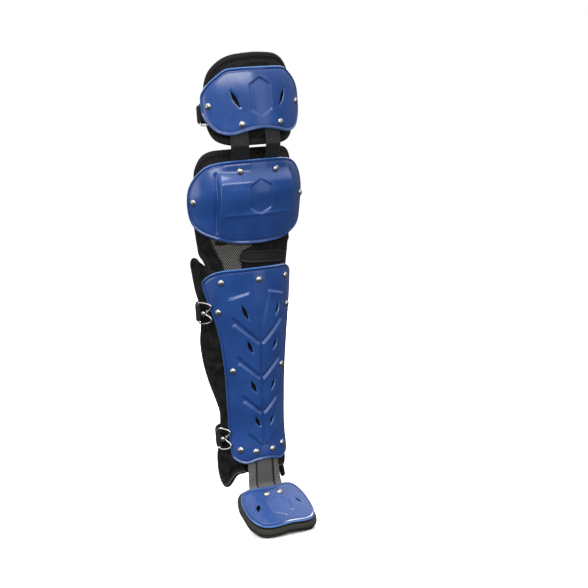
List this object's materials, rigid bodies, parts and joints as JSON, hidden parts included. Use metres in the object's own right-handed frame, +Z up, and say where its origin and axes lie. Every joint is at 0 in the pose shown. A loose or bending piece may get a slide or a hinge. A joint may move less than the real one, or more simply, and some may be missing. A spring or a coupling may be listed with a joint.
{
  "type": "catcher leg guard",
  "caption": "Rigid blue leg guard with thigh, knee, shin and toe plates on black cloth pads, closed behind the leg by straps on wire clips.",
  "frame": {"origin": "on the axis of the leg that wears the guard, level with the middle of the knee plate", "axes": "+Z up along the leg, -Y towards the front of the leg, +X to the side away from the strap clips"},
  "size_m": [0.1746, 0.1682, 0.6575],
  "materials": {
    "moulded_plastic": "glossy royal-blue moulding with soft scuffs",
    "pad_cloth": "black nylon over foam with bound edges",
    "webbing": "dark grey woven webbing",
    "instep_webbing": "worn grey webbing, paler along its lanes",
    "elastic": "black woven elastic",
    "tag_rubber": "bare black moulded rubber",
    "wire_metal": "bright nickel plate",
    "rivet_metal": "domed nickelled steel"
  },
  "bodies": {
    "root": {"thigh_plate": "moulded_plastic", "knee_plate": "moulded_plastic", "shin_plate": "moulded_plastic", "toe_plate": "moulded_plastic", "thigh_pad": "pad_cloth", "knee_pad": "pad_cloth", "shin_pad": "pad_cloth", "toe_pad": "pad_cloth", "connector_strap_left": "webbing", "connector_strap_right": "webbing", "instep_strap": "instep_webbing", "thigh_strap": "elastic", "calf_strap": "elastic", "ankle_strap": "elastic", "name_tag": "tag_rubber", "thigh_clip": "wire_metal", "thigh_post": "wire_metal", "calf_clip": "wire_metal", "calf_post": "wire_metal", "ankle_clip": "wire_metal", "ankle_post": "wire_metal", "thigh_rivet_1": "rivet_metal", "thigh_rivet_2": "rivet_metal", "thigh_rivet_3": "rivet_metal", "thigh_rivet_4": "rivet_metal", "knee_rivet_1": "rivet_metal", "knee_rivet_2": "rivet_metal", "knee_rivet_3": "rivet_metal", "knee_rivet_4": "rivet_metal", "shin_rivet_1": "rivet_metal", "shin_rivet_2": "rivet_metal", "shin_rivet_3": "rivet_metal", "shin_rivet_4": "rivet_metal", "shin_rivet_5": "rivet_metal", "shin_rivet_6": "rivet_metal", "shin_rivet_7": "rivet_metal", "shin_rivet_8": "rivet_metal", "shin_rivet_9": "rivet_metal", "shin_rivet_10": "rivet_metal", "shin_rivet_11": "rivet_metal", "toe_rivet_1": "rivet_metal", "toe_rivet_2": "rivet_metal"}
  },
  "joints": []
}
